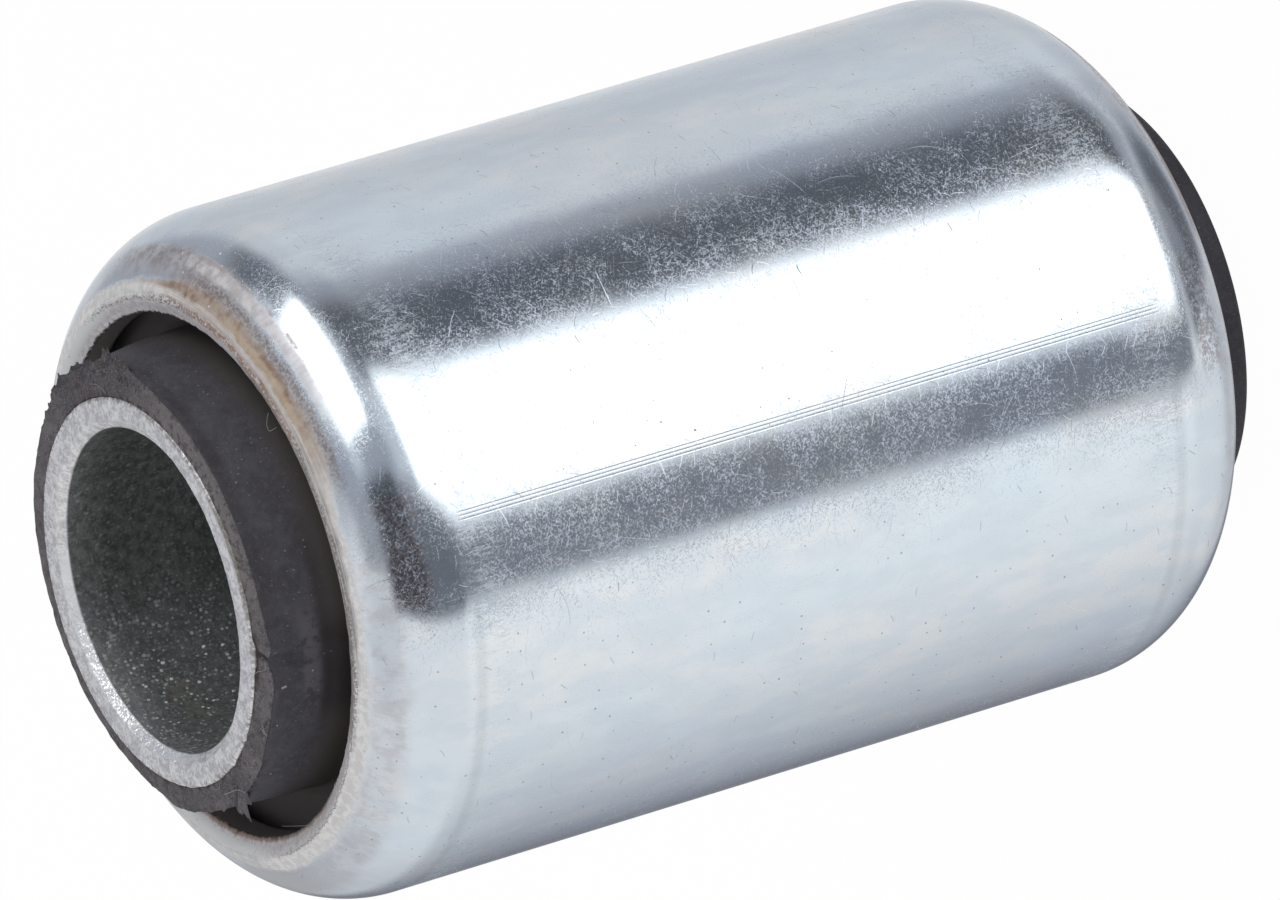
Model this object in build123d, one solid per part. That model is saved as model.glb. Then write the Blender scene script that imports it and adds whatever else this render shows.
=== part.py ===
from build123d import *
import math
import os

# Rubber metal bush: a steel outer sleeve with rolled-in ends, a rubber element pressed into it,
# and a steel inner sleeve for the bolt. The axis is Z and the middle of the bore is the origin.
# All sizes are in millimetres, and angles are in degrees.

# Inner sleeve: a cut length of steel tube that the bolt clamps between two brackets.
bore_diameter = 20.0
inner_sleeve_wall = 2.0
inner_sleeve_length = 69.6
bore_chamfer = 0.5
outer_edge_break = 0.15

# Rubber element, measured outwards from the inner sleeve.
rubber_thickness = 6.7
neck_wall = 2.2
neck_taper = 0.3
rubber_setback = 0.25
rubber_edge_round = 0.5

# Relief groove between the neck and the sleeve's mouth.
mouth_clearance = 1.9
groove_depth = 4.0
groove_round = 0.9
curl_contact_angle = 40.0

# Outer sleeve: steel tube whose two ends are rolled inwards over the rubber.
sleeve_wall = 2.5
sleeve_length = 62.4
curl_angle = 65.0
lip_drop = 0.65
lip_round = 0.3

# Radii that follow from the sizes above.
bore_radius = bore_diameter / 2
inner_sleeve_radius = bore_radius + inner_sleeve_wall
neck_radius = inner_sleeve_radius + neck_wall
mouth_radius = neck_radius + mouth_clearance
sleeve_inside_radius = inner_sleeve_radius + rubber_thickness
sleeve_radius = sleeve_inside_radius + sleeve_wall

# The curl is one bend of the tube wall: its inside surface reaches the mouth radius at curl_angle.
curl_cos = math.cos(math.radians(curl_angle))
curl_sin = math.sin(math.radians(curl_angle))
curl_inside_radius = (sleeve_inside_radius - mouth_radius) / (1 - curl_cos)
curl_radius = curl_inside_radius + sleeve_wall
curl_centre_radius = sleeve_radius - curl_radius

# Heights above the middle of the bush.
inner_sleeve_top = inner_sleeve_length / 2
rubber_top = inner_sleeve_top - rubber_setback
sleeve_top = sleeve_length / 2
straight_top = sleeve_top - curl_radius * curl_sin
lip_top = sleeve_top - lip_drop
groove_floor = lip_top - groove_depth


def on_curl(radius, angle):
    """Radius and height of a point on the upper curl, at an angle from the straight wall."""
    across = curl_centre_radius + radius * math.cos(math.radians(angle))
    along = straight_top + radius * math.sin(math.radians(angle))
    return across, along


def both_ends(point):
    """The same point of an outline at the upper and at the lower end."""
    across, along = point
    return (across, along), (across, -along)


def curl_arcs(radius, angle):
    """The two arcs that bend inwards from the straight wall, one at each end."""
    for end in (1, -1):
        CenterArc((curl_centre_radius, end * straight_top), radius, 0, end * angle)


def vertices_near(sketch, points):
    """The corners of a sketch that lie at the given points of its outline."""
    return [sketch.vertices().sort_by_distance(point)[0] for point in points]


def make_outer_sleeve():
    """Tube wall with both ends rolled in, each cut edge bevelled and slightly rounded."""
    crest = on_curl(curl_radius, curl_angle)
    cut_inside = on_curl(curl_inside_radius, curl_angle)
    mouth_edge = (mouth_radius, lip_top)
    with BuildPart() as sleeve:
        with BuildSketch(Plane.XZ) as section:
            with BuildLine():
                Line((sleeve_radius, -straight_top), (sleeve_radius, straight_top))
                Line((sleeve_inside_radius, -straight_top), (sleeve_inside_radius, straight_top))
                curl_arcs(curl_radius, curl_angle)
                curl_arcs(curl_inside_radius, curl_angle)
                for lip in zip(both_ends(crest), both_ends(mouth_edge), both_ends(cut_inside)):
                    Polyline(*lip)
            make_face()
            fillet(vertices_near(section, both_ends(crest)), lip_round)
        revolve(axis=Axis.Z)
    return sleeve.part


def make_rubber_element():
    """One moulding that fills the sleeve, with a neck at each end standing on the inner sleeve."""
    end_inside = (inner_sleeve_radius, rubber_top)
    end_outside = (neck_radius - neck_taper, rubber_top)
    neck_at_mouth = (neck_radius, lip_top)
    neck_foot = (neck_radius, groove_floor)
    shoulder = on_curl(curl_inside_radius, curl_contact_angle)
    corners = (end_inside, end_outside, neck_at_mouth, neck_foot, shoulder)
    with BuildPart() as rubber:
        with BuildSketch(Plane.XZ) as section:
            with BuildLine():
                Line(*both_ends(end_inside))
                Line((sleeve_inside_radius, -straight_top), (sleeve_inside_radius, straight_top))
                curl_arcs(curl_inside_radius, curl_contact_angle)
                for neck in zip(*[both_ends(corner) for corner in corners]):
                    Polyline(*neck)
            make_face()
            fillet(vertices_near(section, both_ends(end_outside)), rubber_edge_round)
            fillet(vertices_near(section, both_ends(neck_foot)), groove_round)
        revolve(axis=Axis.Z)
    return rubber.part


def make_inner_sleeve():
    """Plain tube, chamfered where the bolt enters and with its outer edges broken."""
    with BuildPart() as tube:
        Cylinder(inner_sleeve_radius, inner_sleeve_length)
        Cylinder(bore_radius, inner_sleeve_length, mode=Mode.SUBTRACT)
        rims = tube.edges().filter_by(GeomType.CIRCLE)
        bore_rims = rims.filter_by(lambda edge: edge.radius < inner_sleeve_radius)
        outer_rims = rims.filter_by(lambda edge: edge.radius > bore_radius)
        chamfer(bore_rims, bore_chamfer)
        chamfer(outer_rims, outer_edge_break)
    return tube.part


nodes = {
    "outer_sleeve": make_outer_sleeve(),
    "rubber_element": make_rubber_element(),
    "inner_sleeve": make_inner_sleeve(),
}

os.makedirs("parts", exist_ok=True)
for name, solid in nodes.items():
    export_step(solid, f"parts/{name}.step")
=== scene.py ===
"""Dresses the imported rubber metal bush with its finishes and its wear, in a plain studio.

Lengths are in millimetres, and MM turns them into metres. Angles round the bush are in degrees from the
camera side, and grow towards +X.
"""
import math

import bpy
import numpy as np
from mathutils import Matrix, Vector


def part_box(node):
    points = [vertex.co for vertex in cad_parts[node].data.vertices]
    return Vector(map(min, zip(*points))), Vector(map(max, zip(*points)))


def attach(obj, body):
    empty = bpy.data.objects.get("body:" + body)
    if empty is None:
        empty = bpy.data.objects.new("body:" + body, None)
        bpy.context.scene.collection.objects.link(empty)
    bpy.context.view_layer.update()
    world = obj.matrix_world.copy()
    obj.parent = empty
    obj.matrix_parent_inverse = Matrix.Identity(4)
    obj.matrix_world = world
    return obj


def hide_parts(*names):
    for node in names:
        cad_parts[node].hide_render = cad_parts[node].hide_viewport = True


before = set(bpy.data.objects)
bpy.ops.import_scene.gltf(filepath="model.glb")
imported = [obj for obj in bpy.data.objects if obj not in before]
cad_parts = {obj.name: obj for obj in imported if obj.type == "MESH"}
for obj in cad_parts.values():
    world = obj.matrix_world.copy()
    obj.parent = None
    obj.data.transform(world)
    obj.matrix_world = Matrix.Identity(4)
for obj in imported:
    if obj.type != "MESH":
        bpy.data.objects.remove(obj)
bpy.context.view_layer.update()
MM = 0.001

# Sizes of the bush, as its solids have them.
sleeve_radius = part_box("outer_sleeve")[1].x / MM
sleeve_half = 31.2
sleeve_wall = 2.5
curl_radius = 7.0
curl_angle = 65.0
mouth_radius = 16.1
lip_drop = 0.65
inner_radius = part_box("inner_sleeve")[1].x / MM
inner_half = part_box("inner_sleeve")[1].z / MM
bore_radius = 10.0
bore_chamfer = 0.5
neck_radius = 14.2
neck_taper = 0.3
rubber_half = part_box("rubber_element")[1].z / MM
rubber_edge_round = 0.5
groove_depth = 4.0
curl_contact_angle = 40.0

# Places that follow from the sizes.
curl_centre = sleeve_radius - curl_radius
curl_inside = curl_radius - sleeve_wall
straight_half = sleeve_half - curl_radius * math.sin(math.radians(curl_angle))
crest_radius = curl_centre + curl_radius * math.cos(math.radians(curl_angle))
lip_half = sleeve_half - lip_drop
groove_half = lip_half - groove_depth
shoulder_radius = curl_centre + curl_inside * math.cos(math.radians(curl_contact_angle))
shoulder_half = straight_half + curl_inside * math.sin(math.radians(curl_contact_angle))

# Columns round the bush, and the first row above its middle.
even_columns = 512
ragged_columns = 1000
waist = 0.6

# The neck at the upper end isn't quite round: its top edge, as angle from the camera side and radius.
neck_off_centre = 0.35
rubber_edge = (
    (-180, 13.1), (-165, 13.22), (-150, 13.05), (-135, 13.18), (-120, 13.36), (-111, 13.66), (-100, 13.56),
    (-85, 13.66), (-70, 13.7), (-60, 13.7), (-50, 13.52), (-40, 13.56), (-33, 13.8), (-30, 13.6),
    (-27, 13.16), (-23, 13.62), (-17, 13.27), (-10, 13.05), (0, 12.99), (15, 13.01), (28, 13.11), (40, 13.23),
    (50, 13.38), (60, 13.62), (68, 13.95), (80, 14.05), (93, 14.12), (104, 13.98), (112, 13.84), (120, 13.72),
    (135, 13.58), (150, 13.5), (165, 13.35), (180, 13.1))


# ---------------------------------------- outlines and lathed meshes

def line(start, end, steps):
    """Points along a straight stretch of an outline, without the last one."""
    t = np.linspace(0, 1, steps, endpoint=False)[:, None]
    return (1 - t) * np.array(start) + t * np.array(end)


def arc(centre, radius, start_angle, end_angle, steps):
    """Points along an arc of an outline, without the last one. Angles are in degrees."""
    angle = np.radians(np.linspace(start_angle, end_angle, steps, endpoint=False))
    return np.array(centre) + radius * np.column_stack([np.cos(angle), np.sin(angle)])


def mirrored(upper, every=1):
    """An outline's upper half, from outside to inside, closed by every so many of its mirrored points."""
    lower = upper[::-every] * np.array([1, -1])
    return np.vstack([upper, lower])


def new_object(name, data):
    """A new object of the scene."""
    new = bpy.data.objects.new(name, data)
    bpy.context.scene.collection.objects.link(new)
    return new


def lathe(name, outline, columns, shape):
    """A closed outline of (radius, height) turned round Z. shape(radius, height, angle) moves its points.

    The UV map is in millimetres.
    """
    along = np.concatenate([[0], np.cumsum(np.linalg.norm(np.diff(outline, axis=0), axis=1))])
    total = along[-1] + np.linalg.norm(outline[0] - outline[-1])
    around = np.linspace(-math.pi, math.pi, columns, endpoint=False)
    radius = np.repeat(outline[:, :1], columns, axis=1)
    height = np.repeat(outline[:, 1:], columns, axis=1)
    radius, height = shape(radius, height, np.degrees(around)[None, :])
    points = np.stack([radius * np.sin(around), -radius * np.cos(around), height], axis=-1)
    rows = len(outline)
    row, column = np.meshgrid(np.arange(rows), np.arange(columns), indexing="ij")
    next_row, next_column = (row + 1) % rows, (column + 1) % columns
    quads = np.stack([row * columns + column, row * columns + next_column,
                      next_row * columns + next_column, next_row * columns + column], axis=-1).reshape(-1, 4)
    mesh = bpy.data.meshes.new(name)
    mesh.from_pydata(points.reshape(-1, 3) * MM, [], quads.tolist())
    one_column = 2 * math.pi / columns
    u_here, u_next = around[column], around[column] + one_column
    u = np.stack([u_here, u_next, u_next, u_here], axis=-1)
    v_here, v_next = along[row], np.where(row + 1 < rows, along[next_row], total)
    v = np.stack([v_here, v_here, v_next, v_next], axis=-1)
    uv = np.stack([u * outline[:, 0].max(), v], axis=-1).reshape(-1, 2)
    mesh.uv_layers.new(name="skin").data.foreach_set("uv", uv.astype(np.float32).ravel())
    mesh.shade_smooth()
    return new_object(name, mesh)


def step(value, low, high):
    """0 below low and 1 above high, smooth between, or the other way round where low is above high."""
    t = np.clip((value - low) / (high - low), 0, 1)
    return t * t * (3 - 2 * t)


def near(value, middle, reach):
    """1 at the middle, falling smoothly to 0 at the reach on both sides."""
    return step(np.abs(value - middle), reach, 0)


def between(value, low, high, soft):
    """1 between two values and 0 outside, over a soft border."""
    return step(value, low - soft, low + soft) * step(value, high + soft, high - soft)


def ring(angle, points):
    """A value that goes smoothly from point to point round the bush. Points are (angle, value)."""
    angles, values = np.array(points).T
    index = np.clip(np.searchsorted(angles, angle, side="right") - 1, 0, len(angles) - 2)
    t = (angle - angles[index]) / (angles[index + 1] - angles[index])
    return values[index] + (values[index + 1] - values[index]) * t * t * (3 - 2 * t)


def jagged(angle, teeth, seed):
    """Uneven teeth round the bush, from -1 to 1: random values joined by straight lines."""
    values = np.random.default_rng(seed).uniform(-1, 1, teeth)
    return np.interp(angle, np.linspace(-180, 180, teeth + 1), np.append(values, values[0]))


# ---------------------------------------- the three pieces

def sleeve_outline():
    """The sleeve's section: straight tube, rolled-in end, lip and sawn mouth."""
    crest = (crest_radius, sleeve_half)
    mouth_edge = (mouth_radius, lip_half)
    cut_inside = (mouth_radius, straight_half + curl_inside * math.sin(math.radians(curl_angle)))
    return mirrored(np.vstack([
        line((sleeve_radius, waist), (sleeve_radius, straight_half), 20),
        arc((curl_centre, straight_half), curl_radius, 0, curl_angle, 28),
        line(crest, mouth_edge, 9),
        line(mouth_edge, cut_inside, 8),
        arc((curl_centre, straight_half), curl_inside, curl_angle, 0, 8),
        line((sleeve_radius - sleeve_wall, straight_half), (sleeve_radius - sleeve_wall, 0), 5),
    ]))


def sleeve_shape(radius, height, angle):
    """Rounds the crest a little and leaves the cut edge of the mouth uneven."""
    top = step(np.abs(height), lip_half - 1.5, lip_half - 0.2)
    cut = near(radius, mouth_radius, 0.4) * top
    crest = near(radius, crest_radius, 0.4) * top
    ragged = 0.025 * jagged(angle, 256, 1) + 0.04 * jagged(angle, 61, 2) + 0.06 * jagged(angle, 17, 3)
    radius = radius + cut * ragged
    sink = crest * (0.07 + 0.02 * jagged(angle, 97, 4)) + cut * (0.025 * jagged(angle, 143, 5) - 0.05)
    return radius, height - np.sign(height) * sink


def rubber_outline():
    """The rubber's section: its outside in the sleeve, the relief groove, the neck and the end face."""
    corner = (neck_radius - neck_taper - rubber_edge_round, rubber_half - rubber_edge_round)
    shoulder = (shoulder_radius, shoulder_half)
    return mirrored(np.vstack([
        line((sleeve_radius - sleeve_wall, waist), (sleeve_radius - sleeve_wall, straight_half), 3),
        arc((curl_centre, straight_half), curl_inside, 0, curl_contact_angle, 5),
        line(shoulder, (neck_radius + 0.9, groove_half + 0.3), 4),
        arc((neck_radius + 0.9, groove_half + 0.9), 0.9, 270, 180, 5),
        line((neck_radius, groove_half + 0.9), (neck_radius, lip_half), 6),
        line((neck_radius, lip_half), (neck_radius - neck_taper, corner[1]), 16),
        arc(corner, rubber_edge_round, 0, 90, 10),
        line((corner[0], rubber_half), (inner_radius, rubber_half), 18),
        line((inner_radius, rubber_half), (inner_radius, 0), 3),
    ]), every=4)


def rubber_shape(radius, height, angle):
    """The neck's uneven edge, its torn flash at both sides, and the folds and hollows of its end face."""
    level = np.abs(height)
    upper = height > 0
    straight_neck = neck_radius - neck_taper * np.clip((level - lip_half) / (rubber_half - lip_half), 0, 1)
    section = (inner_radius, neck_radius - neck_taper, neck_radius, shoulder_radius)
    share = np.interp(radius, section, (0, 1, 1, 0))
    foot = neck_radius + neck_off_centre * np.sin(np.radians(angle))
    edge = np.where(upper, ring(angle, rubber_edge), neck_radius - neck_taper)
    wanted = foot + (edge - foot) * step(level, lip_half - 1.5, rubber_half - 0.2)
    on_neck = step(level, groove_half - 0.4, groove_half)
    moved = radius + share * on_neck * (wanted - straight_neck)

    # Where the skin of the mould tore, the edge is sharp and stands out as flash, else it is moulded round.
    past_back = np.where(angle < -170, angle + 360, angle)
    torn = (between(angle, -112, -17, 4) + between(past_back, 46, 250, 5)) * upper
    corner = np.clip((rubber_half - level) / rubber_edge_round, 0, 1)
    sharp = 1 - (0.45 + 0.37 * np.clip(torn, 0, 1)) * step(corner, 1.0, 0.9)
    lip = np.sin(np.pi * np.clip(1 - corner, 0, 1)) * (share > 0.7) * upper
    thin = 0.04 + 0.12 * jagged(angle, 130, 11) + 0.13 * jagged(angle, 420, 12)
    wide = 0.58 + 0.18 * jagged(angle, 190, 27) + 0.2 * jagged(angle, 470, 28)
    teeth = 0.24 * jagged(angle, 240, 31) + 0.14 * jagged(angle, 460, 29)
    right = between(angle, 98, 124, 3) * thin + between(angle, 68, 80, 1.2) * wide
    right = right + 0.28 * near(angle, 94, 2.2) + 0.3 * near(angle, 105, 1.5)
    right = right + (0.1 + teeth) * between(angle, 68, 116, 1.5)
    left = 0.03 + 0.09 * jagged(angle, 150, 13) + 0.08 * jagged(angle, 400, 14)
    left = between(angle, -112, -56, 4) * left
    tuft = 0.8 * between(angle, -80.0, -71.8, 0.5) + 0.75 * near(angle, -76.0, 2.0)
    tuft = tuft * (1 + 0.16 * jagged(angle, 500, 24))
    all_round = 0.03 * jagged(angle, 310, 15) + 0.03 * jagged(angle, 70, 16)
    all_round = all_round * (0.35 + 0.65 * np.clip(right + left, 0, 1))
    flash = right + left + tuft + all_round
    moved = moved + lip * flash
    droop = lip * (0.04 * jagged(angle, 240, 25) + 0.1 * np.clip(flash, 0, 0.5))

    # Soft waves down the neck, and a shallow hollow under the edge.
    hollow = near(level, rubber_half - 1.1, 0.8) * between(angle, -15, 95, 12) * upper
    waves = 0.06 * jagged(angle, 14, 17) * step(level, groove_half, lip_half)
    moved = moved + share * (waves - 0.12 * hollow) * step(radius, inner_radius + 0.2, neck_radius - 0.6)

    # The end face rises to the tube on the camera side. A deep fold, a pocket and two faint folds cross it.
    face = step(level, rubber_half - 0.45, rubber_half) * upper
    rise = (0.05 + 0.15 * between(angle, -95, 95, 30)) * step(moved, inner_radius + 1.4, inner_radius)
    fold_angle = -25.6 - 1.2 * (moved - inner_radius - 0.6)
    fold = 0.24 * near(angle, fold_angle, 1.3) * step(moved, inner_radius + 0.1, inner_radius + 0.5)
    banks = 0.1 * near(angle, fold_angle - 3.6, 3.4) + 0.12 * near(angle, fold_angle + 3.4, 3.2)
    pocket = 0.16 * between(angle, -31.0, -22.8, 1.6) * step(moved, inner_radius + 0.32, inner_radius + 0.12)
    faint = 0.12 * near(angle, -47 + 9 * (moved - 13), 1.6) + 0.14 * near(angle, -75 - 6 * (moved - 13), 1.8)
    relief = 0.06 * jagged(angle, 44, 19) + 0.035 * jagged(angle, 170, 20)
    relief = relief + 0.03 * jagged(angle + 9 * moved, 97, 26)
    lift = rise + banks * step(moved, inner_radius + 0.2, inner_radius + 0.9) - fold - pocket - faint
    sharp = np.where(level > rubber_half - rubber_edge_round, sharp, 1)
    height = np.where(upper, rubber_half - (rubber_half - height) * sharp, height)
    return moved, height + face * (lift - relief * share * step(share, 0, 0.3)) - droop


def inner_outline():
    """The tube's section, with a small bevel at its outer edge and a chamfer in its bore."""
    return mirrored(np.vstack([
        line((inner_radius, 0), (inner_radius, inner_half - 0.15), 4),
        line((inner_radius, inner_half - 0.15), (inner_radius - 0.15, inner_half), 4),
        line((inner_radius - 0.15, inner_half), (bore_radius + bore_chamfer, inner_half), 16),
        line((bore_radius + bore_chamfer, inner_half), (bore_radius, inner_half - bore_chamfer), 8),
        line((bore_radius, inner_half - bore_chamfer), (bore_radius, 0), 12),
    ]))


def inner_shape(radius, height, angle):
    """Nicks at the tube's outer edge and an uneven chamfer."""
    end = step(np.abs(height), inner_half - 1.2, inner_half - 0.7)
    outer = near(radius, inner_radius, 0.3) * end * (0.03 + 0.03 * jagged(angle, 260, 21))
    width = ring(angle, ((-180, 0), (-75, 0.04), (-60, -0.02), (0, -0.05), (30, 0.08), (45, 0.17), (60, 0.22),
                         (78, 0.08), (95, 0), (180, 0)))
    chamfer = near(radius, bore_radius + bore_chamfer, 0.4) * (0.03 * jagged(angle, 190, 22) + width)
    return radius - outer + chamfer * end, height


def strands(name, paths):
    """Lint and crumbs on the bush. Each path is a thickness and its points, as (angle, radius, height)."""
    curve = bpy.data.curves.new(name, "CURVE")
    curve.dimensions = "3D"
    curve.bevel_depth = 0.5 * MM
    curve.bevel_resolution = 1
    for thickness, points in paths:
        spline = curve.splines.new("NURBS")
        spline.points.add(len(points) - 1)
        for point, (angle, radius, height) in zip(spline.points, points):
            turn = math.radians(angle)
            point.co = (radius * math.sin(turn) * MM, -radius * math.cos(turn) * MM, height * MM, 1)
            point.radius = thickness
        spline.order_u = 3
        spline.use_endpoint_u = True
    shape = new_object(name, curve)
    evaluated = shape.evaluated_get(bpy.context.evaluated_depsgraph_get())
    piece = new_object(name, bpy.data.meshes.new_from_object(evaluated))
    bpy.data.objects.remove(shape)
    return piece


# Nine fibres, of which the first two cross the gap at the mouth, and then six crumbs.
lint_paths = (
    (0.028, ((-87.3, 15.54, 31.0), (-80.7, 15.97, 31.0), (-73.9, 16.6, 31.05))),
    (0.035, ((29.1, 16.62, 31.2), (28.6, 15.89, 31.2), (27.4, 15.6, 31.2), (26.4, 15.71, 31.2),
             (25.3, 16.71, 31.25))),
    (0.05, ((-82, 12.86, 34.62), (-79, 12.94, 34.66), (-75, 13.08, 34.66), (-72, 13.4, 34.68),
            (-71.5, 13.7, 34.6))),
    (0.035, ((-88, 12.1, 34.68), (-85, 12.4, 34.72), (-82, 12.4, 34.72), (-81, 12.1, 34.74))),
    (0.035, ((-32.5, 12.0, 34.78), (-30.5, 12.35, 34.78), (-29.5, 12.85, 34.76), (-28.5, 13.3, 34.7),
             (-26.8, 13.2, 34.72))),
    (0.05, ((-47.6, 13.65, 34.62), (-47.3, 13.3, 34.68), (-47.2, 12.98, 34.68))),
    (0.04, ((-47.2, 13.4, 34.66), (-45.6, 13.1, 34.7))),
    (0.035, ((80, 12.15, 34.72), (83, 12.6, 34.66), (86, 12.77, 34.66), (89, 12.83, 34.64))),
    (0.035, ((-62, 12.7, 34.66), (-64, 13.0, 34.66), (-61, 13.3, 34.66))),
    (0.13, ((-32.6, 14.16, 34.22), (-32.3, 14.2, 33.9))),
    (0.1, ((-30.3, 14.2, 32.12), (-30.1, 14.2, 32.02))),
    (0.09, ((-43.7, 14.0, 34.3), (-43.5, 14.0, 34.22))),
    (0.09, ((45.0, 14.35, 32.45), (45.2, 14.35, 32.37))),
    (0.08, ((-62.1, 13.92, 33.78), (-61.9, 13.92, 33.7))),
    (0.08, ((19.6, 13.98, 33.9), (19.8, 13.98, 33.8))),
)


# ---------------------------------------- node helpers

class Nodes:
    """Short forms for building a node tree."""

    def __init__(self, tree):
        self.tree = tree
        tree.nodes.clear()

    def add(self, kind, **inputs):
        """A new node. Each input names a property of the node or one of its sockets."""
        node = self.tree.nodes.new(kind)
        for name, value in inputs.items():
            if hasattr(node, name):
                setattr(node, name, value)
            else:
                self.put(node.inputs[name], value)
        return node

    def put(self, socket, value):
        """Links another socket to a socket, or sets its value."""
        if isinstance(value, bpy.types.NodeSocket):
            self.tree.links.new(value, socket)
        else:
            socket.default_value = value

    def math(self, operation, first, second=0.0, third=0.0):
        """One operation on numbers."""
        node = self.add("ShaderNodeMath", operation=operation)
        for socket, value in zip(node.inputs, (first, second, third)):
            self.put(socket, value)
        return node.outputs[0]

    def total(self, *terms):
        """The sum of (amount, value) pairs and plain values."""
        total = 0.0
        for term in terms:
            amount, value = term if isinstance(term, tuple) else (1.0, term)
            total = self.math("MULTIPLY_ADD", value, amount, total)
        return total

    def product(self, first, *others):
        """All the values multiplied."""
        for other in others:
            first = self.math("MULTIPLY", first, other)
        return first

    def most(self, first, *others):
        """The largest of the values."""
        for other in others:
            first = self.math("MAXIMUM", first, other)
        return first

    def vector(self, operation, first, second):
        """One operation on vectors."""
        node = self.add("ShaderNodeVectorMath", operation=operation)
        self.put(node.inputs[0], first)
        self.put(node.inputs[1], second)
        return node.outputs[0]

    def split(self, vector):
        """The three parts of a vector."""
        return self.add("ShaderNodeSeparateXYZ", Vector=vector).outputs

    def join(self, x, y, z=0.0):
        """A vector from its parts."""
        return self.add("ShaderNodeCombineXYZ", X=x, Y=y, Z=z).outputs[0]

    def smooth(self, value, low, high):
        """0 below low and 1 above high, or the other way round where low is above high."""
        node = self.add("ShaderNodeMapRange", interpolation_type="SMOOTHSTEP", Value=value)
        node.inputs["From Min"].default_value = min(low, high)
        node.inputs["From Max"].default_value = max(low, high)
        node.inputs["To Min"].default_value = 0.0 if low < high else 1.0
        node.inputs["To Max"].default_value = 1.0 if low < high else 0.0
        return node.outputs["Result"]

    def between(self, value, low, high, soft):
        """1 between two values and 0 outside, over a soft border."""
        above_low = self.smooth(value, low - soft, low + soft)
        return self.product(above_low, self.smooth(value, high + soft, high - soft))

    def patch(self, value, reach, angle, stretch, *others):
        """Part of a ring round the bush. reach and stretch are each a start, an end and a soft border."""
        return self.product(self.between(value, *reach), self.between(angle, *stretch), *others)

    def mix(self, factor, first, second):
        """Goes from one number to another."""
        node = self.add("ShaderNodeMix", data_type="FLOAT")
        for socket, value in zip((node.inputs[0], node.inputs[2], node.inputs[3]), (factor, first, second)):
            self.put(socket, value)
        return node.outputs[0]

    def tint(self, factor, first, second):
        """Goes from one colour to another. Colours are (red, green, blue) or sockets."""
        node = self.add("ShaderNodeMix", data_type="RGBA")
        for socket, value in zip((node.inputs[0], node.inputs[6], node.inputs[7]), (factor, first, second)):
            self.put(socket, (*value, 1) if isinstance(value, tuple) else value)
        return node.outputs[2]

    def coats(self, colour, *layers):
        """Lays coats over a colour, one over the other. Each is a mask, a strength and a colour."""
        for mask, strength, coat in layers:
            colour = self.tint(mask if strength == 1 else self.product(mask, strength), colour, coat)
        return colour

    def ramp(self, value, stops):
        """Straight lines between stops of (position, level)."""
        node = self.add("ShaderNodeValToRGB")
        elements = node.color_ramp.elements
        while len(elements) < len(stops):
            elements.new(0.5)
        for element, (position, level) in zip(elements, stops):
            element.position = position
            element.color = (level, level, level, 1)
        self.put(node.inputs[0], value)
        return node.outputs[0]

    def noise(self, where, size, seed, detail=2.0, stretch=(1, 1, 1), swirl=0.0):
        """Noise from 0 to 1 with features of about a size. stretch lengthens them, and swirl bends them."""
        scale = tuple(1 / (size * s) for s in stretch)
        scaled = self.vector("MULTIPLY", where, scale)
        moved = self.vector("ADD", scaled, (seed * 7.3, seed * 3.1, seed * 5.7))
        noise = self.add("ShaderNodeTexNoise", Vector=moved, Scale=1.0, Detail=detail, Distortion=swirl)
        return noise.outputs["Fac"]

    def cells(self, skin, spacing, seed):
        """Random cells: the way from each cell's own point, and three random numbers for each cell."""
        where = self.vector("ADD", skin, (seed * 31.7, seed * 17.9, 0.0))
        cells = self.add("ShaderNodeTexVoronoi", voronoi_dimensions="2D", Vector=where, Scale=1 / spacing)
        return self.vector("SUBTRACT", where, cells.outputs["Position"]), cells.outputs["Color"]

    def turned(self, vector, angle):
        """A vector turned in its plane by an angle in radians."""
        node = self.add("ShaderNodeVectorRotate", rotation_type="Z_AXIS", Vector=vector, Angle=angle)
        return node.outputs[0]

    def scaled(self, vector, amount):
        """A vector made longer or shorter."""
        return self.add("ShaderNodeVectorMath", operation="SCALE", Vector=vector, Scale=amount).outputs[0]

    def lean(self, chance, amount):
        """A random lean of the surface: up to about half the amount to each side."""
        return self.scaled(self.vector("SUBTRACT", chance, (0.5, 0.5, 0.5)), amount)

    def specks(self, skin, spacing, size, seed, share):
        """Round specks, one to a cell in a share of the cells: a mask of them, and their lean."""
        local, chance = self.cells(skin, spacing, seed)
        x, y, _ = self.split(local)
        first, second, _ = self.split(chance)
        reach = self.math("MULTIPLY_ADD", second, size, size * 0.4)
        distance = self.math("SQRT", self.math("MULTIPLY_ADD", x, x, self.product(y, y)))
        inside = self.smooth(self.math("DIVIDE", distance, reach), 1.0, 0.5)
        mask = self.product(inside, self.math("LESS_THAN", first, share))
        return mask, self.lean(chance, mask)

    def scratches(self, skin, spacing, length, width, seed, share, lean=(0.0, 180.0)):
        """Fine curved lines, one to a cell in a share of the cells: a mask of them, and their lean.

        lean is their middle direction from the way round the bush, and how far they turn from it, in degrees.
        """
        local, chance = self.cells(skin, spacing, seed)
        first, second, third = self.split(chance)
        middle, spread = math.radians(lean[0]), math.radians(lean[1])
        turn = self.math("MULTIPLY_ADD", first, 2 * spread, -middle - spread)
        x, y, _ = self.split(self.turned(local, turn))
        bend = self.math("MULTIPLY_ADD", second, 1.2 / length, -0.6 / length)
        bent = self.math("MULTIPLY_ADD", self.product(x, x), bend, y)
        across = self.smooth(self.math("ABSOLUTE", bent), width / 2, 0.0)
        ends = self.smooth(self.math("ABSOLUTE", x), length / 2, length / 4)
        mask = self.product(across, ends, self.math("LESS_THAN", third, share))
        return mask, self.lean(chance, mask)

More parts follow.
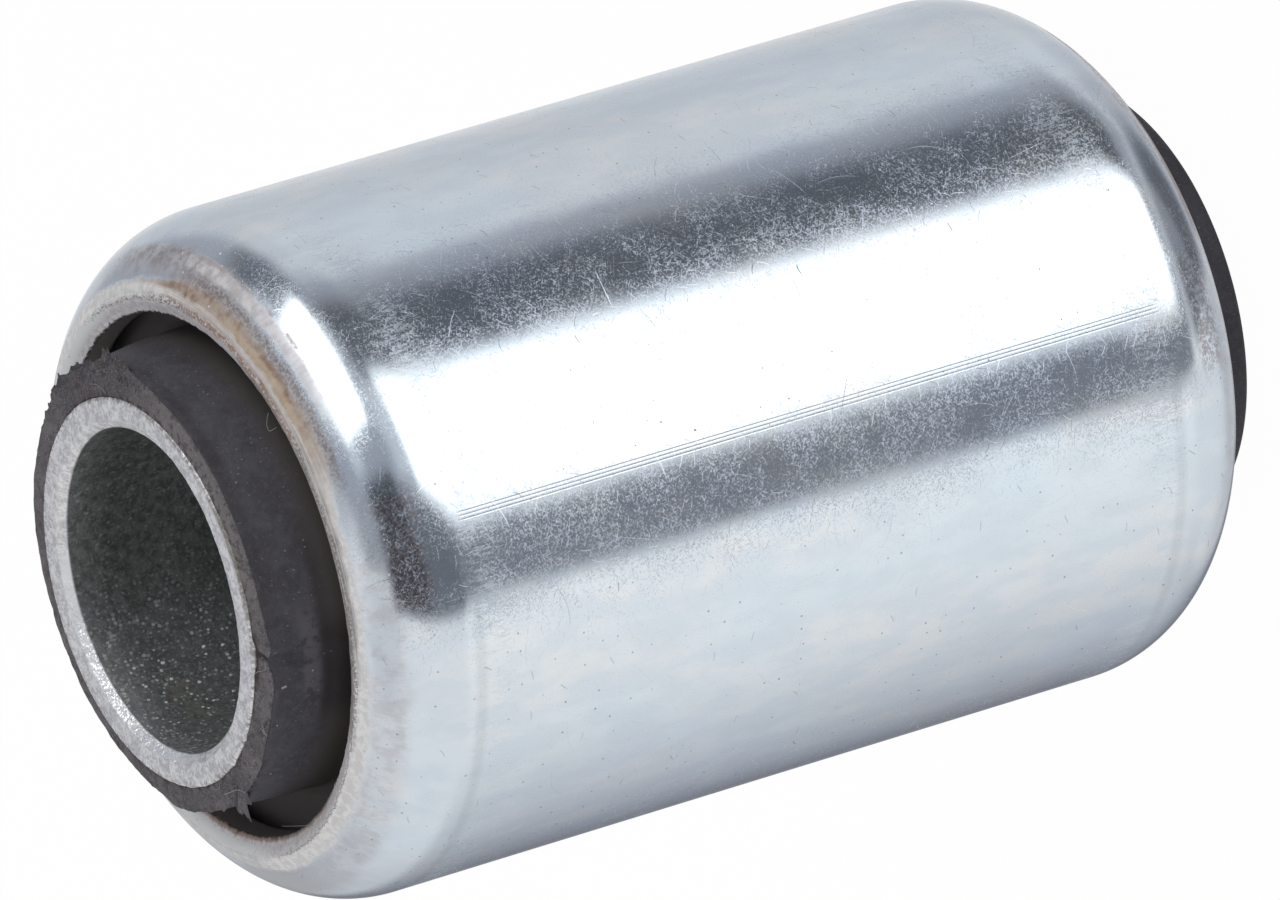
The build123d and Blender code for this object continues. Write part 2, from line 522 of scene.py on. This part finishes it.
    def place(self):
        """Where a point lies: its spot, its radius and height, and its angle from the camera side."""
        spot = self.vector("DIVIDE", self.add("ShaderNodeTexCoord").outputs["Object"], (MM, MM, MM))
        x, y, height = self.split(spot)
        radius = self.math("SQRT", self.math("MULTIPLY_ADD", x, x, self.product(y, y)))
        angle = self.math("DEGREES", self.math("ARCTAN2", x, self.product(y, -1.0)))
        return spot, radius, height, angle

    def skin(self):
        """The UV map of a lathed piece, in millimetres: round the bush and along its outline."""
        return self.add("ShaderNodeUVMap", uv_map="skin").outputs[0]

    def relief(self, height, *leans):
        """The surface's direction from a height in millimetres and (amount, lean) pairs."""
        normal = self.add("ShaderNodeBump", Height=height, Distance=MM, Strength=1.0).outputs[0]
        for amount, lean in leans:
            normal = self.vector("ADD", normal, self.scaled(lean, amount))
        return self.add("ShaderNodeVectorMath", operation="NORMALIZE", Vector=normal).outputs[0]

    def surface(self, colour, roughness, metallic=0.0, facing=None, specular=0.5):
        """The material's shader, linked to its output."""
        shader = self.add("ShaderNodeBsdfPrincipled", Roughness=roughness, Metallic=metallic)
        shader.inputs["Specular IOR Level"].default_value = specular
        self.put(shader.inputs["Base Color"], colour)
        if facing:
            self.put(shader.inputs["Normal"], facing)
        self.add("ShaderNodeOutputMaterial", Surface=shader.outputs[0])


def new_material(name):
    """An empty node material, and the short forms for its tree."""
    material = bpy.data.materials.new(name)
    material.use_nodes = True
    return material, Nodes(material.node_tree)


# ---------------------------------------- studio

def build_world():
    """White for the camera, even light for matt surfaces, and for reflections a pale studio.

    The studio has soft boxes and dark gaps between them, laid out by azimuth and elevation.
    """
    world = bpy.data.worlds.new("studio")
    bpy.context.scene.world = world
    world.use_nodes = True
    n = Nodes(world.node_tree)
    plain_light = 0.85
    x, y, z = n.split(n.add("ShaderNodeTexCoord").outputs["Generated"])
    azimuth = n.math("DEGREES", n.math("ARCTAN2", x, n.product(y, -1.0)))
    elevation = n.math("DEGREES", n.math("ARCSINE", z))
    turn = n.math("MULTIPLY_ADD", azimuth, 1 / 360, 0.5)

    def tones(*stops):
        """Tones that follow each other by azimuth."""
        return n.ramp(turn, [((az + 180) / 360, tone) for az, tone in stops])

    def panel(level, tone, az, el, soft=4.0, slant=(0.0, 0.0), cut=None):
        """A soft-edged panel of the studio, between two azimuths and two elevations.

        soft is one width, or one for the sides and one for the top and bottom. slant tilts the lower and the
        upper edge, in degrees per degree of azimuth. cut is a corner taken off: degrees of azimuth per degree
        of elevation, and the azimuth at elevation 0.
        """
        sides, ends = soft if isinstance(soft, tuple) else (soft, soft)
        lower, upper = (n.math("MULTIPLY_ADD", azimuth, -tilt, elevation) if tilt else elevation
                        for tilt in slant)
        inside = n.product(n.between(azimuth, az[0], az[1], sides),
                           n.smooth(lower, el[0] - ends, el[0] + ends),
                           n.smooth(upper, el[1] + ends, el[1] - ends))
        if cut:
            corner = n.math("MULTIPLY_ADD", elevation, -cut[0], azimuth)
            inside = n.math("MINIMUM", inside, n.smooth(corner, cut[1] - sides, cut[1] + sides))
        return n.mix(inside, level, tone)

    level = tones((-180, 0.64), (-160, 0.6), (-145, 0.58), (-130, 0.68), (-115, 0.76), (-90, 0.79),
                  (-45, 0.82), (95, 0.64), (140, 0.6), (180, 0.64))
    wall = tones((-180, 0.55), (-173, 0.25), (-165, 0.2), (-155, 0.28), (-145, 0.375), (-135, 0.46),
                 (-125, 0.55), (-115, 0.61), (-105, 0.68), (-95, 0.745), (-85, 0.815), (-65, 0.865),
                 (-45, 0.925), (-38, 0.96), (88, 0.68), (105, 0.69), (115, 0.68), (125, 0.635), (135, 0.6),
                 (145, 0.615), (155, 0.655), (165, 0.74), (175, 0.78), (180, 0.55))
    level = n.mix(n.between(elevation, -44, -17, 4.0), level, wall)
    for shape in (
        # Above, behind and below.
        (0.7, (-85, -30), (44, 68), 6),
        (0.4, (91, 176), (-3, 72), 5),
        (0.5, (96, 176), (-66, -52), 4),
        (0.27, (-30, 179), (-95, -63), 5),
        (0.13, (66, 172), (-95, -67), 6),
        (0.34, (-185, -28), (-95, -84), 4),
        (0.56, (0, 150), (70, 95), 6),
        # Dark panels and paler strips, which show as the bands on the sleeve.
        (0.37, (-22, 87), (-60, 68), 4),
        (0.58, (20, 74), (40, 50), 3),
        (0.6, (78, 112), (27, 38), 5),
        (0.11, (40, 75.2), (-50, 4), (6, 5)),
        (0.15, (82, 112), (0, 22), 5),
        (0.21, (-32.5, 4), (-56, -15), 3),
        (0.16, (-34, 4), (-21, 12), 3),
        (0.09, (-34, 16), (16.5, 47), (2.5, 3), (0.2, 0.0)),
        (0.62, (11, 44), (-6, 12), 5),
        # The two soft boxes.
        (2.2, (-5.5, 44), (-51, -3), (8, 3), (0.0, 0.0), (0.5, 10)),
        (2.6, (34, 82), (27.5, 50), 3, (-0.24, -0.12)),
    ):
        level = panel(level, *shape)

    path = n.add("ShaderNodeLightPath")
    level = n.mix(path.outputs["Is Diffuse Ray"], level, plain_light)
    level = n.mix(path.outputs["Is Camera Ray"], level, 1.0)
    cool = n.tint(n.smooth(level, 0.95, 0.05), (1.0, 1.0, 1.0), (0.95, 0.98, 1.12))
    background = n.add("ShaderNodeBackground", Color=cool, Strength=level)
    n.add("ShaderNodeOutputWorld", Surface=background.outputs[0])


def build_floor():
    """A wide pale floor under the bush, which shows almost white and keeps a faint shadow."""
    mesh = bpy.data.meshes.new("floor")
    side, height = 6.0, -inner_half * MM
    corners = [(-side, -side, height), (side, -side, height), (side, side, height), (-side, side, height)]
    mesh.from_pydata(corners, [], [(0, 1, 2, 3)])
    floor = new_object("floor", mesh)
    material, n = new_material("pale_floor")
    path = n.add("ShaderNodeLightPath")
    paper = n.add("ShaderNodeBsdfDiffuse", Color=(0.85, 0.85, 0.85, 1))
    white = n.add("ShaderNodeEmission", Color=(1, 1, 1, 1), Strength=1.0)
    mixed = n.add("ShaderNodeMixShader")
    white_share = 0.98
    n.put(mixed.inputs[0], n.product(path.outputs["Is Camera Ray"], white_share))
    n.put(mixed.inputs[1], paper.outputs[0])
    n.put(mixed.inputs[2], white.outputs[0])
    n.add("ShaderNodeOutputMaterial", Surface=mixed.outputs[0])
    mesh.materials.append(material)
    floor.visible_glossy = False


def build_camera():
    """A long lens, rolled so that the bush's upper end points to the left and a little down."""
    camera = new_object("camera", bpy.data.cameras.new("camera"))
    right = Vector((-0.28558, -0.45644, -0.84268))
    up = Vector((0.95835, -0.13585, -0.2512))
    back = right.cross(up).normalized()
    up = back.cross(right).normalized()
    rotation = Matrix((right.normalized(), up, back)).transposed()
    camera.matrix_world = Matrix.Translation(Vector((0, -1118.8, 606.2)) * MM) @ rotation.to_4x4()
    camera.data.lens = 596.9
    camera.data.sensor_width = 36.0
    camera.data.clip_end = 100
    bpy.context.scene.camera = camera


# ---------------------------------------- materials

def zinc_plating():
    """Bright zinc with faint clouds of colour and fine scratches, and a dull sawn lip with rust on it."""
    material, n = new_material("zinc_plating")
    spot, radius, height, angle = n.place()
    skin = n.skin()
    u = n.split(skin)[0]
    level = n.math("ABSOLUTE", height)
    polar = n.join(angle, radius)
    aside = n.math("ABSOLUTE", angle)

    # The rolled-in ends have fewer scratches. One part of the curl is scuffed, and another is oxidised too.
    worn = n.mix(n.smooth(level, straight_half - 0.6, straight_half + 0.6), 1.0, 0.35)
    on_curl = n.smooth(level, straight_half + 1, straight_half + 3)
    scuffed_curl = n.product(n.between(angle, 40, 84, 6), on_curl)
    oxidised_curl = n.patch(level, (straight_half + 2.2, straight_half + 4.3, 0.35), angle, (-15, 5, 3))

    # Scratches and crystals that each shine their own way.
    busy = n.smooth(n.noise(spot, 2.6, 7, detail=3), 0.36, 0.6)
    half_busy = n.math("MULTIPLY_ADD", busy, 0.5, 0.5)
    middling, middling_lean = n.scratches(skin, 0.9, 1.1, 0.07, 3, n.product(worn, 0.7), lean=(25, 60))
    long_ones, long_lean = n.scratches(skin, 3.6, 3.4, 0.08, 4, n.product(worn, 0.65))
    marks = n.total((0.8, middling), long_ones)
    crystal_chance = n.cells(skin, 0.09, 1)[1]
    crystals = n.product(n.smooth(n.split(crystal_chance)[0], 0.8, 1.0), half_busy)

    # Hair scratches in three directions over a fine grain, most of them where the sleeve was handled.
    hairs = 0.0
    for direction, length, seed in ((30, 5.0, 18), (-35, 5.0, 19), (75, 8.0, 20)):
        aslant = n.turned(skin, math.radians(direction))
        hair = n.noise(aslant, 0.072, seed, detail=1, stretch=(length, 1, 1), swirl=0.3)
        hairs = n.math("MAXIMUM", hairs, n.smooth(hair, 0.56, 0.8))
    grain = n.noise(skin, 0.13, 21, detail=3)
    handled = n.mix(n.most(n.between(angle, -21, 44, 7), scuffed_curl), 0.35, 1.0)
    hairs = n.product(n.total((0.95, hairs), (0.5, n.smooth(grain, 0.45, 0.68))), half_busy,
                      n.total(0.45, (0.55, worn), (0.35, oxidised_curl)), handled)

    # Pits and nicks hold dirt, except on the two worn parts of the curl, where the pits are white flecks.
    pits, pit_lean = n.specks(skin, 1.1, 0.07, 5, 0.28)
    nicks, nick_lean = n.scratches(skin, 3.1, 0.8, 0.12, 6, 0.34, lean=(20, 35))
    flecks = n.product(pits, n.most(scuffed_curl, oxidised_curl))
    brush = n.noise(skin, 0.13, 8, stretch=(1, 6, 1), swirl=0.5)
    haze = n.product(n.between(level, 22.3, 25.0, 1.3), n.smooth(brush, 0.35, 0.65))

    # Fine lines that the drawing die left along the whole tube, and a faint ring where the curl begins.
    die_line_spacing = 0.23
    wave = n.math("COSINE", n.product(u, 2 * math.pi / die_line_spacing))
    die_lines = n.product(n.between(u, -1.3, -0.6, 0.05), n.smooth(wave, -0.2, 0.9),
                          n.smooth(level, straight_half, straight_half - 1.0))
    curl_ring = n.between(level, straight_half - 0.5, straight_half + 0.2, 0.25)
    curl_start = n.product(curl_ring, n.smooth(angle, -5, -25))

    # The lip's patterns. r is the radius with rough borders, and r_soft with softer ones.
    streak = n.noise(polar, 1, 9, detail=3, stretch=(0.55, 0.5, 1))
    wobble = n.noise(polar, 1, 14, stretch=(5, 3, 1))
    rings = n.noise(polar, 1, 17, stretch=(25, 0.07, 1))
    scuff = n.noise(polar, 1, 22, detail=4, stretch=(2.6, 0.7, 1))
    scuffed = n.smooth(n.total((0.75, scuff), (0.25, streak)), 0.38, 0.6)
    crumble = n.noise(spot, 0.42, 10, detail=3)
    dots = n.noise(spot, 0.18, 16)
    crumbled = n.total((0.5, crumble), (0.5, dots))
    r = n.total(radius, (0.1, streak), (0.16, dots), (0.5, wobble), -0.38)
    r_soft = n.total(radius, (0.05, streak), (0.16, wobble), -0.105)

    # The lip, from the inside of the mouth outwards: the sawn bevel with its dirty inner edge and a crack.
    bevel = n.smooth(radius, 17.25, 17.05)
    crumbs = n.product(bevel, n.smooth(n.total(radius, (0.45, crumble), (0.35, dots)), 16.62, 16.5))
    brown_edge = n.product(bevel, n.between(angle, -128, -62, 8),
                           n.smooth(n.total(radius, (0.3, crumble)), 16.62, 16.4))
    crack = n.patch(n.total(radius, (0.5, streak)), (17.41, 17.47, 0.04), angle, (-92, -22, 6))
    # A dark broken ring with rust in it, and greyer rings beside it.
    broken = n.patch(r, (17.14, 17.5, 0.1), angle, (-42, 78, 8), n.smooth(dots, 0.42, 0.56))
    rusty = n.smooth(n.total((0.7, crumble), (0.3, dots)), 0.42, 0.56)
    rust = n.patch(r, (16.98, 17.48, 0.08), angle, (22, 64, 6), rusty)
    dotted = n.patch(r, (16.98, 17.26, 0.07), angle, (60, 106, 5), n.smooth(dots, 0.52, 0.6))
    near_ring = n.patch(r, (17.0, 17.74, 0.14), angle, (-26, 20, 6))
    far_ring = n.patch(r, (17.42, 17.68, 0.1), angle, (18, 62, 8))
    # A dull whitish coat with a brown stain in it, and a mottled border.
    stained_side = n.between(angle, 8, 70, 8)
    coat = n.most(bevel, n.smooth(n.total(r, (-0.45, stained_side)), 18.35, 17.95))
    stain = n.patch(r, (17.9, 18.66, 0.16), angle, (17, 80, 10))
    yellow = n.patch(r, (17.95, 18.25, 0.12), angle, (20, 50, 8))
    border = n.patch(r, (18.45, 19.05, 0.16), angle, (8, 66, 7))
    # Films over the curl, a dull ribbon along it and a thin rust line outside that.
    film = n.patch(r, (18.35, 19.8, 0.25), angle, (48, 92, 12))
    brown_film = n.product(film, n.smooth(crumble, 0.42, 0.6), n.smooth(r, 18.7, 19.3))
    near_film = n.patch(r, (18.25, 19.9, 0.3), angle, (-84, 0, 14))
    ribbon = n.patch(r_soft, (19.22, 19.7, 0.12), angle, (24, 66, 10))
    rust_line = n.patch(r_soft, (19.72, 19.86, 0.07), angle, (30, 82, 5), n.smooth(wobble, 0.43, 0.55))
    dull_side = n.product(n.between(angle, -116, -84, 10), n.smooth(radius, 20.6, 19.6))
    # Behind the cut edge, the inside of the sleeve, painted pale as painted light against the shade in the
    # gap.
    inside = n.product(n.smooth(level, lip_half - 0.02, lip_half - 0.2), n.smooth(radius, 18.3, 18.0))

    cloud = n.noise(spot, 6, 11, detail=3, stretch=(1, 1, 1.6))
    warm = n.noise(spot, 8, 12, stretch=(1, 1, 1.8))
    mottling = n.noise(spot, 1.7, 15, detail=4, stretch=(1, 1, 2.2))
    bright = n.coats(
        n.tint(n.smooth(cloud, 0.35, 0.65), (0.755, 0.855, 0.93), (0.8, 0.872, 0.915)),
        (n.smooth(warm, 0.46, 0.62), 0.7, (0.857, 0.873, 0.88)),
        (n.smooth(mottling, 0.36, 0.62), 0.7, (0.713, 0.795, 0.86)),
        (hairs, 0.8, (0.745, 0.815, 0.96)),
        (dull_side, 1, (0.56, 0.575, 0.585)),
        (n.product(oxidised_curl, n.smooth(crumbled, 0.42, 0.54)), 0.85, (0.44, 0.415, 0.425)),
        (film, n.math("MULTIPLY_ADD", streak, 0.6, 0.4),
         n.tint(scuffed, (0.57, 0.52, 0.5), (0.8, 0.77, 0.77))),
        (brown_film, 0.5, (0.42, 0.33, 0.27)),
        (ribbon, 0.85, n.tint(scuffed, (0.54, 0.51, 0.52), (0.74, 0.72, 0.73))),
        (near_film, n.math("MULTIPLY_ADD", scuffed, -0.5, 0.78), (0.6, 0.603, 0.625)),
        (border, 0.85, n.tint(n.smooth(dots, 0.38, 0.62), (0.3, 0.26, 0.25), (0.57, 0.525, 0.52))),
        (rust_line, 0.7, (0.34, 0.255, 0.235)))
    stain_colour = n.tint(n.smooth(scuff, 0.36, 0.6), (0.235, 0.145, 0.095), (0.4, 0.325, 0.265))
    dull = n.coats(
        n.tint(stained_side, (0.71, 0.705, 0.705), (0.53, 0.475, 0.44)),
        (near_ring, n.math("MULTIPLY_ADD", crumble, 0.5, 0.6), (0.18, 0.165, 0.165)),
        (far_ring, n.math("MULTIPLY_ADD", crumble, 0.6, 0.3), (0.28, 0.235, 0.215)),
        (n.smooth(angle, -92, -104), 1, (0.54, 0.55, 0.56)),
        (n.smooth(angle, 70, 95), 1, (0.63, 0.635, 0.635)),
        (n.smooth(angle, 92, 106), 1, (0.72, 0.725, 0.73)),
        (n.smooth(rings, 0.38, 0.62), 0.5, (0.8, 0.79, 0.78)),
        (n.smooth(crumble, 0.6, 0.4), 0.35, (0.42, 0.39, 0.38)),
        (stain, n.math("MULTIPLY_ADD", streak, 0.5, 0.65), stain_colour),
        (yellow, 0.6, (0.58, 0.46, 0.33)))
    sawn = n.smooth(crumbled, 0.36, 0.62)
    dark_edge = n.tint(sawn, (0.24, 0.225, 0.22), (0.4, 0.385, 0.38))
    pale_edge = n.tint(sawn, (0.52, 0.495, 0.51), (0.69, 0.665, 0.68))
    far_edge = n.product(n.smooth(aside, 92, 104), n.smooth(radius, 16.45, 16.7))
    edge = n.coats(
        n.tint(n.smooth(aside, 34, 50), dark_edge, pale_edge),
        (far_edge, 1, (0.7, 0.715, 0.72)),
        (brown_edge, 0.85, (0.24, 0.155, 0.115)),
        (crumbs, 1, (0.09, 0.078, 0.074)))
    dirt = n.total((0.7, crack), (0.5, pits), (-0.5, flecks), (0.36, nicks), (0.12, curl_start),
                   (0.25, die_lines))
    colour = n.coats(
        n.tint(coat, bright, n.tint(bevel, dull, edge)),
        (broken, 0.8, n.tint(dots, (0.07, 0.06, 0.06), (0.3, 0.26, 0.25))),
        (rust, 0.75, n.tint(dots, (0.2, 0.1, 0.075), (0.4, 0.23, 0.17))),
        (dotted, 0.8, (0.13, 0.115, 0.115)),
        (dirt, 1, (0.2, 0.19, 0.19)),
        (flecks, 1, (0.9, 0.9, 0.9)),
        # The inside of the sleeve: pale grey as painted light in the shaded gap, and painted darker at the
        # bottom.
        (inside, 1, n.tint(n.between(angle, -130, -70, 10), (0.36, 0.335, 0.325), (0.19, 0.172, 0.165))))

    rough_hairs = n.product(hairs, n.total(1, (-1, ribbon)))
    roughness = n.total(0.1, (0.05, n.smooth(cloud, 0.4, 0.65)), (0.4, rough_hairs), (0.12, crystals),
                        (0.15, haze), (0.22, marks), (0.4, coat), (0.3, ribbon), (0.15, border), (0.25, film),
                        (0.2, dull_side), (0.3, dirt))
    swell = n.noise(spot, 6, 13, detail=1)
    depth = n.total((0.012, swell), (-0.006, die_lines), (-0.04, crack), (0.0007, n.product(brush, haze)),
                    (0.006, n.product(coat, crumble)), (0.003, n.product(n.most(coat, film), streak)))
    facing = n.relief(depth, (0.05, n.lean(crystal_chance, crystals)), (0.16, middling_lean),
                      (0.24, long_lean), (0.3, pit_lean), (0.25, nick_lean))
    painted = n.most(coat, inside, n.product(ribbon, 0.65), flecks, rust_line)
    n.surface(colour, roughness, n.total(1.0, (-0.8, painted)), facing)
    return material


def moulded_rubber():
    """Black rubber: a blue-black moulded side with dust on it, and a greyer torn face at the end."""
    material, n = new_material("moulded_rubber")
    spot, radius, height, angle = n.place()
    skin = n.skin()
    level = n.math("ABSOLUTE", height)
    # The groove's colour is painted: paler deep down as painted light, and darker at one side as painted
    # shade.
    groove = n.smooth(level, lip_half + 1.2, lip_half - 1.0)
    deep_painted_light = n.smooth(level, lip_half - 1.2, groove_half + 0.2)
    side_painted_shade = n.between(angle, -45, -20, 6)

    cloud = n.noise(spot, 1.8, 41, detail=4)
    grain = n.noise(spot, 0.11, 42)
    fray = n.noise(spot, 0.4, 40, detail=4)
    ragged = n.product(n.total(fray, -0.5), n.total(0.2, (0.9, n.between(angle, 58, 112, 6))))
    face = n.smooth(n.total(level, ragged), rubber_half - 0.17, rubber_half - 0.05)

    # The side of the neck, with a pale smear on it and, below that next to the lip, a painted shadow of the
    # lip.
    smear = n.patch(level, (lip_half + 0.7, lip_half + 1.9, 0.35), angle, (-40, -16, 5),
                    n.smooth(n.total((0.5, cloud), (0.5, fray)), 0.4, 0.56))
    # A painted shadow: the neck darkened just above the lip, where the lip shades it.
    under = n.patch(level, (lip_half - 0.1, lip_half + 0.6, 0.3), angle, (-48, 4, 8))
    side = n.coats(
        n.tint(n.smooth(cloud, 0.38, 0.62), (0.047, 0.044, 0.053), (0.062, 0.059, 0.07)),
        (n.smooth(fray, 0.52, 0.68), 0.5, (0.078, 0.075, 0.095)),
        (n.smooth(fray, 0.48, 0.34), 0.4, (0.036, 0.033, 0.038)),
        (n.smooth(grain, 0.55, 0.75), 0.5, (0.105, 0.1, 0.12)),
        (smear, 0.6, (0.115, 0.108, 0.118)),
        (under, 0.7, (0.02, 0.018, 0.02)))

    # The torn face: paler and darker stretches, its frayed grain, the dirty seam at the tube, and a painted
    # shadow in the pocket.
    seam = n.product(n.smooth(radius, inner_radius + 0.35, inner_radius + 0.05), n.smooth(fray, 0.45, 0.6))
    # A painted shadow in the pocket between the tube and the torn flap.
    pocket = n.product(n.between(angle, -35, -20, 3),
                       n.smooth(n.total(radius, (0.5, fray)), inner_radius + 0.85, inner_radius + 0.55))
    torn = n.coats(
        n.tint(n.smooth(cloud, 0.35, 0.65), (0.08, 0.074, 0.08), (0.125, 0.117, 0.124)),
        (n.between(angle, -12, 55, 12), 0.6, (0.165, 0.153, 0.158)),
        (n.between(angle, 66, 108, 8), 0.65, (0.055, 0.05, 0.055)),
        (n.between(angle, -135, -72, 12), 0.3, (0.055, 0.051, 0.054)),
        (n.smooth(fray, 0.5, 0.62), 0.65, (0.05, 0.041, 0.047)),
        (n.smooth(grain, 0.5, 0.72), 0.6, (0.22, 0.205, 0.215)),
        (seam, 0.8, (0.05, 0.025, 0.023)),
        (pocket, 0.85, (0.034, 0.019, 0.018)))

    # In the groove the rubber is painted paler towards its floor and darker at one side: painted light and
    # shade. Dust lies outside it.
    groove_painted_light_and_shade = n.tint(side_painted_shade, (0.08, 0.071, 0.068), (0.045, 0.04, 0.039))
    near_dust = n.specks(skin, 0.5, 0.055, 43, 0.4)[0]
    large_dust = n.specks(skin, 1.9, 0.085, 44, 0.3)[0]
    dusty = n.product(n.total(near_dust, (0.9, large_dust)),
                      n.smooth(n.noise(spot, 2.5, 45, detail=1), 0.38, 0.6),
                      n.smooth(level, lip_half - 1.0, lip_half + 0.5))
    colour = n.coats(
        n.tint(face, side, torn),
        (groove, 1, n.tint(deep_painted_light, groove_painted_light_and_shade, (0.115, 0.107, 0.104))),
        (dusty, 0.5, (0.3, 0.29, 0.32)))

    streaks = n.noise(n.join(angle, radius), 1, 46, stretch=(0.9, 0.8, 1))
    combed = n.product(face, n.total(0.03, (0.12, n.between(angle, 66, 118, 6))))
    depth = n.total((0.01, grain), (0.12, n.product(fray, face)), n.product(streaks, combed),
                    (0.03, n.product(cloud, n.total(1, (-1, face)))))
    roughness = n.total(0.5, (0.2, cloud), (0.15, face))
    n.surface(colour, roughness, facing=n.relief(depth), specular=0.3)
    return material


def inner_steel():
    """Plated tube: a pale sawn face with dirt at its edge, a glittering chamfer with a painted highlight on
    one stretch, and a dark grainy bore with painted light deep in it.
    """
    material, n = new_material("inner_steel")
    spot, radius, height, angle = n.place()
    skin = n.skin()
    level = n.math("ABSOLUTE", height)
    bore = n.product(n.smooth(level, inner_half - bore_chamfer + 0.08, inner_half - bore_chamfer - 0.08),
                     n.smooth(radius, bore_radius + 0.6, bore_radius + 0.2))
    chamfer = n.product(n.between(level, inner_half - 0.52, inner_half - 0.03, 0.05),
                        n.smooth(radius, bore_radius + 1.0, bore_radius + 0.6))
    full_turn = n.math("MODULO", n.total(angle, 360.0), 360.0)
    # Along one stretch the chamfer is smoother and glitters, and its colour is painted whiter there: a
    # painted highlight.
    chamfer_highlight_stretch = n.product(chamfer, n.between(full_turn, 160, 262, 10))

    saw = n.noise(n.join(angle, radius), 1, 60, stretch=(0.7, 1.2, 1))
    grain = n.noise(spot, 0.2, 61)
    mottle = n.noise(spot, 0.55, 66, detail=4)
    chance = n.cells(skin, 0.1, 63)[1]

    # The sawn face: pale, with small specks, dents in three stretches, a stain and dirt along its outer edge.
    specks, speck_lean = n.specks(skin, 0.55, 0.05, 64, 0.3)
    dented = n.most(n.between(angle, -98, -34, 6), n.between(angle, 14, 54, 6), n.between(angle, 116, 170, 8))
    dents = n.product(n.scratches(skin, 0.7, 0.24, 0.1, 67, 0.35, lean=(60, 30))[0], dented)
    stained = n.product(n.between(angle, -14, 19, 4), n.smooth(n.total(radius, (0.7, mottle)), 11.85, 12.1))
    crumbs = n.noise(n.join(angle, radius), 1, 65, detail=3, stretch=(1.1, 0.45, 1))
    rim = n.smooth(radius, inner_radius - 0.55, inner_radius - 0.1)
    rough_edge = n.product(n.between(angle, -30, 66, 8), n.smooth(n.total(radius, (0.9, mottle)), 12.0, 12.3))
    edge_dirt = n.most(n.product(rim, n.smooth(crumbs, 0.5, 0.62)),
                       n.product(rough_edge, n.smooth(crumbs, 0.42, 0.56)))
    face_pattern = n.smooth(n.total((0.4, grain), (0.12, saw), (0.48, mottle)), 0.37, 0.62)
    face = n.coats(
        n.tint(face_pattern, (0.64, 0.635, 0.655), (0.98, 0.975, 0.975)),
        (n.total((0.3, specks), (0.6, edge_dirt), (0.6, dents)), 1, (0.24, 0.215, 0.18)),
        (n.product(stained, n.smooth(grain, 0.3, 0.55)), 0.75, (0.27, 0.25, 0.19)))

    # The bore: dark and grainy, with more glitter in its lower part, and a smudge near the mouth.
    lower = n.between(full_turn, 184, 276, 20)
    sparkle, sparkle_lean = n.specks(skin, 0.3, 0.14, 68, 0.45)
    smudge = n.patch(level, (29.8, 31.2, 0.6), angle, (-150, -126, 6), n.smooth(mottle, 0.38, 0.55))
    wall = n.coats(
        n.tint(n.smooth(mottle, 0.34, 0.66), (0.125, 0.133, 0.13), (0.222, 0.233, 0.23)),
        (lower, 0.3, (0.31, 0.33, 0.345)),
        (n.smooth(grain, 0.5, 0.68), n.total(0.3, (0.4, lower)), (0.42, 0.45, 0.44)),
        (smudge, 0.6, (0.33, 0.31, 0.27)),
        (sparkle, n.total(0.12, (0.3, lower)), (0.7, 0.76, 0.75)))
    # Painted light: the wall is painted darker near the mouth and paler deeper in, against the shade down the
    # bore.
    bore_painted_light = n.mix(n.smooth(level, inner_half - 0.5, inner_half - 10), 0.78, 1.35)
    wall = n.vector("MULTIPLY", wall, n.join(bore_painted_light, bore_painted_light, bore_painted_light))
    # The chamfer's stretch takes a whiter colour, a painted highlight.
    colour = n.tint(bore, n.tint(chamfer_highlight_stretch, face, (0.97, 0.98, 0.99)), wall)

    roughness = n.total(0.5, (0.16, grain), (-0.14, chamfer_highlight_stretch), (-0.04, bore))
    glitter = n.total((0.1, 1.0), (0.48, n.product(chamfer_highlight_stretch, n.smooth(full_turn, 165, 205))))
    depth = n.total((0.008, grain), (0.004, saw), (0.02, n.product(mottle, bore)))
    facing = n.relief(depth, (1.0, n.lean(chance, glitter)), (0.4, speck_lean),
                      (n.product(bore, n.total(0.3, (0.6, lower))), sparkle_lean))
    n.surface(colour, roughness, n.total(1.0, (-0.4, bore)), facing)
    return material


def lint_fibre():
    """Pale dusty cotton, a little uneven along the strand."""
    material, n = new_material("lint")
    spot = n.place()[0]
    n.surface(n.tint(n.noise(spot, 0.6, 81), (0.17, 0.16, 0.17), (0.36, 0.34, 0.34)), roughness=0.9)
    return material


# ---------------------------------------- the scene

def dress(piece, node, material):
    """Gives a piece its material, and puts it on the bush in place of its solid."""
    piece.data.materials.append(material)
    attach(piece, "root")
    if node:
        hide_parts(node)


bpy.context.scene.view_settings.view_transform = "Standard"
build_world()
build_floor()
build_camera()

sleeve = lathe("sleeve_skin", sleeve_outline(), even_columns, sleeve_shape)
dress(sleeve, "outer_sleeve", zinc_plating())
rubber = lathe("rubber_skin", rubber_outline(), ragged_columns, rubber_shape)
dress(rubber, "rubber_element", moulded_rubber())
inner = lathe("inner_skin", inner_outline(), even_columns, inner_shape)
dress(inner, "inner_sleeve", inner_steel())
dress(strands("lint", lint_paths), None, lint_fibre())
